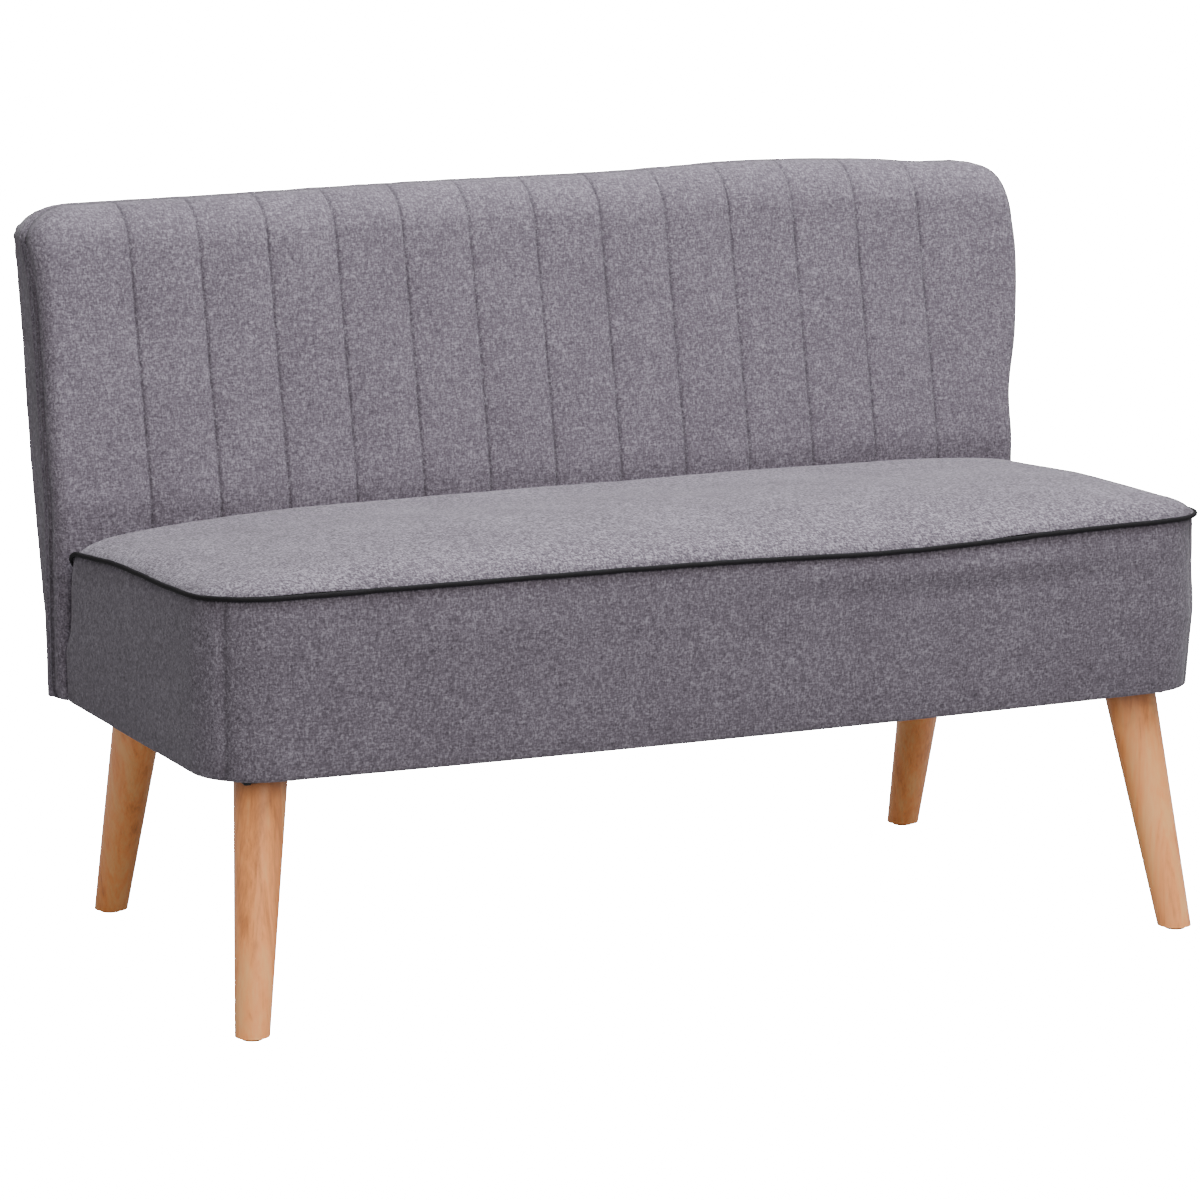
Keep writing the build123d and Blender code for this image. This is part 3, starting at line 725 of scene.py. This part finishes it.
back = {
    "half": 0.590,
    "front": 0.15055,
    "bend": 0.482,
    "frontLean": math.radians(12.0),
    "rearLean": math.radians(12.7),
    "rearFoot": 0.20355,
    "top": 0.795,
    "roll": 0.058,
    "endWide": 0.054,
    "endTall": 0.036,
    "sideRound": 0.018,
    "seamSet": 0.020,
    "seamSetTop": 0.024,
    "underside": 0.268,
    "rearRound": 0.030,
    "rearDrop": 0.008,
    "pitch": 0.0802,
    "seams": 13,
    "bulge": 0.0024,
    "groove": 0.0016,
    "grooveWidth": 0.0019,
    "slim": 0.007,
    "slimTop": 0.60,
    "footTuck": 0.006,
    "flareRight": 0.019,
    "flareLeft": -0.004,
    "lifts": ((-0.62, 0.05, -0.005), (-0.10, 0.22, 0.003), (0.29, 0.13, 0.006), (0.53, 0.06, -0.007)),
}
seamPlaces = [(n - (back["seams"] - 1) / 2) * back["pitch"] for n in range(back["seams"])]


def rearY(z):
    return back["rearFoot"] + (z - back["underside"]) * math.tan(back["rearLean"])


def frontY(z):
    soft = 0.012
    over = z - back["bend"]
    eased = over if over > soft else (0 if over < -soft else (over + soft) ** 2 / (4 * soft))
    return back["front"] + eased * math.tan(back["frontLean"])


def seamY(z):
    return frontY(z) + back["seamSet"] + back["seamSetTop"] * smoothStep(z, 0.69, 0.80)


def stripDepth(z):
    return (rearY(z) - seamY(z)) * math.cos(back["rearLean"])


def crestLift(x, z):
    # The top edge is not quite straight
    lift = sum(height * bump(x, place, width) for place, width, height in back["lifts"])
    return lift * smoothStep(z, 0.70, 0.79)


def flared(x, z, slimShare=1.0):
    # The padded ends swell or draw in sideways. slimShare holds the rear edge out over the frame
    reach = back["flareRight"] if x > 0 else back["flareLeft"]
    swell = smoothStep(z, 0.50, 0.70) * (1 - 0.1 * smoothStep(z, 0.71, 0.775))
    outer = smoothStep(abs(x), back["half"] - 0.10, back["half"] - 0.01)
    slim = back["slim"] * smoothStep(back["slimTop"] - z, 0, 0.08) * (x > 0)
    slim += back["footTuck"] * math.exp(-max(0, z - back["underside"]) / 0.006)
    side = 1 if x > 0 else -1
    return x + side * (reach * swell - slim * slimShare) * outer


def channelRise(x, up):
    near = min(abs(x - place) for place in seamPlaces)
    if abs(x) <= seamPlaces[-1]:
        share = min(1, near / (back["pitch"] / 2))
        number = math.floor((x - seamPlaces[0]) / back["pitch"])
    else:
        share = min(1, near / (back["pitch"] * 0.6))
        number = -1 if x < 0 else back["seams"]
    own = 1 + 0.25 * math.sin(number * 2.399 + 1.0)
    pillow = (1 - (1 - share) ** 2.2) * back["bulge"] * own
    groove = back["groove"] * math.exp(-((near / back["grooveWidth"]) ** 2))
    groove += back["groove"] * 0.5 * math.exp(-near / 0.006)
    pucker = wander(x * 0.6, 0, up, 0.011, 17.0) * math.exp(-near / 0.012) * 0.0008
    return pillow - groove + pucker


def backColumns():
    # Across the face, closer together at the seams and the rounded ends, then over the sides to the strip
    half, wide = back["half"], back["endWide"]
    places = set()
    for place in seamPlaces:
        for offset in (-0.007, -0.0045, -0.003, -0.0018, -0.0009, 0, 0.0009, 0.0018, 0.003, 0.0045, 0.007):
            places.add(round(place + offset, 6))
        for n in range(1, 9):
            places.add(round(place + 0.007 + (back["pitch"] - 0.014) * n / 9, 6))
    inner = half - wide
    columns = [(x, 0.0) for x in sorted(places) if -inner < x < inner]
    ends = [(inner + wide * math.sin(math.pi / 2 * n / 30), 0.0) for n in range(31)]
    sides = [(half, share) for share in (0.12, 0.25, 0.4, 0.55, 0.7, 0.82, 0.9, 0.95, 0.98, 1.0)]
    right = ends + sides
    return [(-x, share) for x, share in reversed(right)] + columns + right


def makeBackFront():
    columns = backColumns()
    half, under, lean = back["half"], back["underside"], back["frontLean"]
    heights = [0.0008, 0.003, 0.007, 0.014, 0.025, 0.045, 0.070, 0.095, 0.115, 0.126, 0.132, 0.136, 0.139]
    heights += [0.142, 0.146, 0.152, 0.165] + [0.180 + 0.034 * n / 4 for n in range(5)]
    faceRows, rollRows = 62, 20
    folds = 3

    def section(x, j):
        # A point of the side-view slice at x, with the way it faces
        over = max(0, abs(x) - (half - back["endWide"]))
        lowered = back["endTall"] * (1 - math.sqrt(max(0, 1 - (over / back["endWide"]) ** 2)))
        crest = back["top"] - lowered
        roll = back["roll"]
        faceTop = crest - roll * (1 - math.sin(lean))

        def face(z):
            gap = seamY(z) - frontY(z)
            radius = min(back["sideRound"], 0.72 * gap)
            inside = min(radius, max(0, abs(x) - (half - radius)))
            return frontY(z) + radius - math.sqrt(radius**2 - inside**2)

        if j < folds:
            y = back["rearFoot"] - 0.002 + (face(under) + 0.003 - back["rearFoot"] + 0.002) * j / (folds - 1)
            return y, under, 0, -1, -0.05 + 0.05 * j / (folds - 1)
        j -= folds
        if j < len(heights):
            z = under + heights[j]
            return face(z), z, -1.0, 0.0, z - under
        j -= len(heights)
        if j < faceRows:
            start = under + heights[-1]
            z = start + (faceTop - start) * (j + 1) / faceRows
            return face(z), z, -math.cos(lean), math.sin(lean), z - under
        j -= faceRows
        quarter = math.pi / 2 - lean
        angle = math.pi - lean - quarter * (j + 1) / rollRows
        z = crest - roll + roll * math.sin(angle)
        share = (math.cos(angle) + math.cos(lean)) / math.cos(lean)
        y = face(faceTop) + (seamY(crest) - face(faceTop)) * share
        return y, z, math.cos(angle), math.sin(angle), faceTop - under + roll * quarter * (j + 1) / rollRows

    def placeAt(i, j):
        x, share = columns[i]
        y, z, ny, nz, up = section(x, j)
        rounding = max(0, abs(x) - (half - back["sideRound"])) / back["sideRound"]
        fade = math.sqrt(max(0, 1 - rounding**2)) * smoothStep(up, 0.0, 0.12)
        fade *= smoothStep(seamY(z) - y, 0.0, 0.02)
        rise = channelRise(x, up) * fade
        rise += (0.0012 * wander(x, y, z, 0.14, 21.0) + 0.0005 * wander(x, y, z, 0.04, 23.0)) * fade
        side = 0.0
        if j >= folds:
            y += (seamY(z) - y) * share
            if share > 0:
                # The tuck in the side, and the cloth pulled to the strip's seam
                side = bump(z, 0.411, 0.005) * 0.0014 - bump(z, 0.404, 0.0030) * 0.0030
                side += 0.0008 * wander(y * 0.5, 0, z, 0.014, 27.0) * share
                side *= smoothStep(seamY(z) - y, 0.0, 0.001)
                side -= 0.003 * smoothStep(share, 0.6, 1.0)
        px = flared(x, z) + math.copysign(side, x)
        spotX = x + math.copysign(share * max(0, seamY(z) - frontY(z)), x)
        return (px, y + ny * rise, z + nz * rise + crestLift(x, z)), (spotX, up)

    rows = folds + len(heights) + faceRows + rollRows
    return shapedGrid("backFront", len(columns) - 1, rows - 1, placeAt)


backFront = makeBackFront()


# Painted light and shade on the back's front, multiplied into the cloth colour
def backShade(p):
    near = min(abs(p.x - place) for place in seamPlaces)
    broken = 0.75 + 0.5 * wander(p.x, 0, p.z, 0.03, 61.0)
    # The panel brightened overall, with painted shade in the seam grooves, broken up by noise
    value = 1.08 - 0.45 * math.exp(-((near / 0.0015) ** 2)) * (p.z > 0.45) * broken
    # Painted shade in the tuck on each side
    if abs(p.x) > back["half"] - 0.008:
        value -= 0.45 * bump(p.z, 0.403, 0.003)
    # Painted shade where the cloth folds round into the strip's seam
    gap = seamY(p.z) - p.y
    if gap < 0.006:
        value *= 0.4 + 0.6 * max(0, gap) / 0.006
    return value


markShade(backFront, backShade)
finishPiece(backFront, "upholstery_fabric", greyCloth, "back_front_cover", "back_foam")
print("back front made")


# The rear cover: an outline round the back, taken in rings from the strip's seam to the rear panel
sideSteps, cornerSteps, topSteps = 60, 16, 110
panelInset = 0.055


def lidPlace(number, inset):
    share = max(0, 1 - inset / panelInset)
    wide, tall = back["endWide"] * share, back["endTall"] * share
    half = back["half"] - inset
    crest = back["top"] - inset
    total = 2 * (sideSteps + cornerSteps) + topSteps
    mirror = 1
    if number > total / 2:
        number, mirror = total - number, -1
    if number <= sideSteps:
        rise = crest - tall - back["underside"]
        return -half * mirror, back["underside"] + rise * number / sideSteps, -mirror, 0
    if number <= sideSteps + cornerSteps:
        turn = math.pi / 2 * (number - sideSteps) / cornerSteps
        x = -half + wide * (1 - math.cos(turn))
        return x * mirror, crest - tall + tall * math.sin(turn), -math.cos(turn) * mirror, math.sin(turn)
    width = 2 * (half - wide)
    x = -half + wide + width * (number - sideSteps - cornerSteps) / topSteps
    return x * mirror, crest, 0, 1


def makeBackRear():
    total = 2 * (sideSteps + cornerSteps) + topSteps
    rings = [
        (0.0, 0.0045), (0.0006, 0.0016), (0.0015, 0.0004), (0.004, -0.0006), (0.008, -0.0002),
        (0.0105, 0.0008), (0.0125, -0.0008), (0.0140, -0.0014), (0.0160, -0.0009), (0.0185, 0.0),
    ]
    turns = 8

    def placeAt(i, j):
        middle = lidPlace(i, 0)
        depth = stripDepth(middle[1])
        rounding = min(back["rearRound"], depth - 0.0195)
        if j < len(rings):
            behind, inset = rings[j]
            away = depth - behind
        elif j < len(rings) + turns:
            turn = math.pi / 2 * (j - len(rings) + 1) / turns
            away = rounding * (1 - math.sin(turn))
            inset = rounding * (1 - math.cos(turn))
        else:
            away, inset = 0.0, rounding + (panelInset - rounding) * (j - len(rings) - turns + 1) / 2
        x, z, nx, nz = lidPlace(i, inset)
        nearEnd = smoothStep(abs(x), back["half"] - 0.09, back["half"] - 0.02)
        corner = bump(z, back["top"] - 0.05, 0.05) * nearEnd
        pucker = wander(i * 0.006, away * 0.4, 0, 0.010, 31.0) * (0.0005 + 0.0014 * corner)
        pucker *= smoothStep(away, 0.0, 0.02)
        x, z = x + nx * pucker, z + nz * pucker
        drop = back["rearDrop"] * smoothStep(nz, 0, 1) * (1 - away / depth)
        y = rearY(z) - math.cos(back["rearLean"]) * away
        front = smoothStep(away / depth, 0.5, 1.0)
        return (flared(x, z, front), y, z - drop + crestLift(x, z)), (i * 0.008, depth - away + inset)

    lid = shapedGrid("backRear", total, len(rings) + turns + 1, placeAt, flip=True)

    def panelAt(i, j):
        half, crest = back["half"] - panelInset, back["top"] - panelInset
        x = -half + 2 * half * i / topSteps
        z = back["underside"] + (crest - back["underside"]) * j / sideSteps
        edge = min(1, min(half - abs(x), crest - z) / 0.03)
        sag = 0.0012 * wander(x, 0, z, 0.20, 41.0) + 0.0004 * wander(x, 0, z, 0.05, 43.0)
        drop = back["rearDrop"] * (j == sideSteps)
        return (flared(x, z, 0.0), rearY(z) + sag * edge, z - drop + crestLift(x, z)), (x, z)

    panel = shapedGrid("backPanelCloth", topSteps, sideSteps, panelAt, flip=True)
    bm = bmesh.new()
    bm.from_mesh(lid.data)
    bm.from_mesh(panel.data)
    bmesh.ops.remove_doubles(bm, verts=bm.verts[:], dist=0.0004)
    bmesh.ops.recalc_face_normals(bm, faces=bm.faces[:])
    bm.to_mesh(lid.data)
    bm.free()
    bpy.data.objects.remove(panel)
    return lid


backRear = makeBackRear()


# Painted light and shade on the rear cover, multiplied into the cloth colour
def rearShade(p):
    gap = p.y - seamY(p.z)
    # Brightened overall, with painted shade at the strip's seam
    value = 1.08 - 0.75 * math.exp(-max(0, gap) / 0.003)
    # A painted highlight band on the rounding and a painted shade crease behind it
    value += 0.15 * bump(gap, 0.014, 0.0025) - 0.2 * bump(gap, 0.0195, 0.0025)
    return value


markShade(backRear, rearShade)
finishPiece(backRear, "upholstery_fabric", greyCloth, "back_rear_cover")
print("back rear made")


# Dust cloth under the seat

dust = {"margin": 0.009, "height": 0.2686, "crease": 0.0004}


def makeDustCloth():
    half = seat["half"] - dust["margin"]

    def placeAt(i, j):
        x = -half + 2 * half * i / 60
        front = frontAt(x * seat["half"] / half) + dust["margin"]
        y = front + (seat["rear"] - dust["margin"] - front) * j / 24
        crease = dust["crease"] * abs(wander(x, y, 0, 0.05, 51.0))
        return (x, y, dust["height"] - crease), (x, y)

    return shapedGrid("dustCloth", 60, 24, placeAt, flip=True)


dustCloth = makeDustCloth()
finishPiece(dustCloth, "dust_cloth", dustMaterial, "dust_cloth")
print("dust cloth made")


# CAD nodes that stay get their materials

def paintNodes():
    chosen = [
        ("leg_plate", blackSteel), ("leg_", legWood), ("foot_glide", glidePlastic),
        ("seat_springs", springSteel), ("spring_clips", springSteel),
        ("plate_screws", blackSteel), ("hanger_bolts", platedSteel), ("join_", platedSteel),
        ("back_panel", plyWood),
    ]
    for item in bpy.context.scene.objects:
        if "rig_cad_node" not in item or item.hide_render:
            continue
        material = rawWood
        for start, candidate in chosen:
            if item.name.startswith(start):
                material = candidate
                break
        for materialSlot in item.material_slots:
            materialSlot.material = material


paintNodes()
print("nodes painted")


# Floor, light and camera

stage = {
    "floor": (0.42, 0.42, 0.43),
    "glow": 30.0,
    "world": 0.42,
    "reach": 40.0,
    # Name, place, target, size, watts and colour
    "lights": [
        ("topLight", (0.5, -0.5, 3.2), (0, 0, 0.4), (3.0, 2.2), 188, (0.93, 0.96, 1.0)),
        ("keyLight", (-0.7, -4.2, 2.3), (0, 0, 0.45), (1.8, 1.8), 78, (1.0, 0.98, 0.96)),
    ],
    "cameraPlace": (-2.562, -5.560, 1.583),
    "cameraDown": 11.3,
    "cameraTurn": 24.6,
    "lens": 170.4,
    "sensor": 36.0,
}


def makeFloor():
    mesh = bpy.data.meshes.new("floor")
    bm = bmesh.new()
    bmesh.ops.create_grid(bm, x_segments=1, y_segments=1, size=stage["reach"])
    bm.to_mesh(mesh)
    bm.free()
    floor = bpy.data.objects.new("floor", mesh)
    bpy.context.scene.collection.objects.link(floor)
    material, tree, shader = newMaterial("paleFloor")
    shader.inputs["Base Color"].default_value = (*stage["floor"], 1)
    shader.inputs["Roughness"].default_value = 0.9
    # The camera sees the floor as white as a studio sweep, and the sofa gets only its soft bounce
    seen = addNode(tree, "ShaderNodeLightPath")
    white = addNode(tree, "ShaderNodeEmission", Strength=stage["glow"])
    both = addNode(tree, "ShaderNodeMixShader")
    tree.links.new(seen.outputs["Is Camera Ray"], both.inputs["Fac"])
    tree.links.new(shader.outputs["BSDF"], both.inputs[1])
    tree.links.new(white.outputs["Emission"], both.inputs[2])
    tree.links.new(both.outputs["Shader"], tree.nodes["Material Output"].inputs["Surface"])
    floor.data.materials.append(material)


def addLight(name, place, target, size, power, colour):
    lamp = bpy.data.lights.new(name, "AREA")
    lamp.color = colour
    lamp.shape = "RECTANGLE"
    lamp.size, lamp.size_y = size
    lamp.energy = power
    item = bpy.data.objects.new(name, lamp)
    item.location = place
    item.rotation_euler = (Vector(target) - Vector(place)).to_track_quat("-Z", "Y").to_euler()
    bpy.context.scene.collection.objects.link(item)


makeFloor()
for light in stage["lights"]:
    addLight(*light)
world = bpy.data.worlds.new("studio")
world.use_nodes = True
world.node_tree.nodes["Background"].inputs["Color"].default_value = (1, 1, 1, 1)
world.node_tree.nodes["Background"].inputs["Strength"].default_value = stage["world"]
bpy.context.scene.world = world

camera = bpy.data.cameras.new("camera")
camera.sensor_width = stage["sensor"]
camera.lens = stage["lens"]
cameraItem = bpy.data.objects.new("camera", camera)
cameraItem.location = stage["cameraPlace"]
cameraItem.rotation_euler = (math.radians(90 - stage["cameraDown"]), 0, math.radians(-stage["cameraTurn"]))
bpy.context.scene.collection.objects.link(cameraItem)
bpy.context.scene.camera = cameraItem
print("stage made")
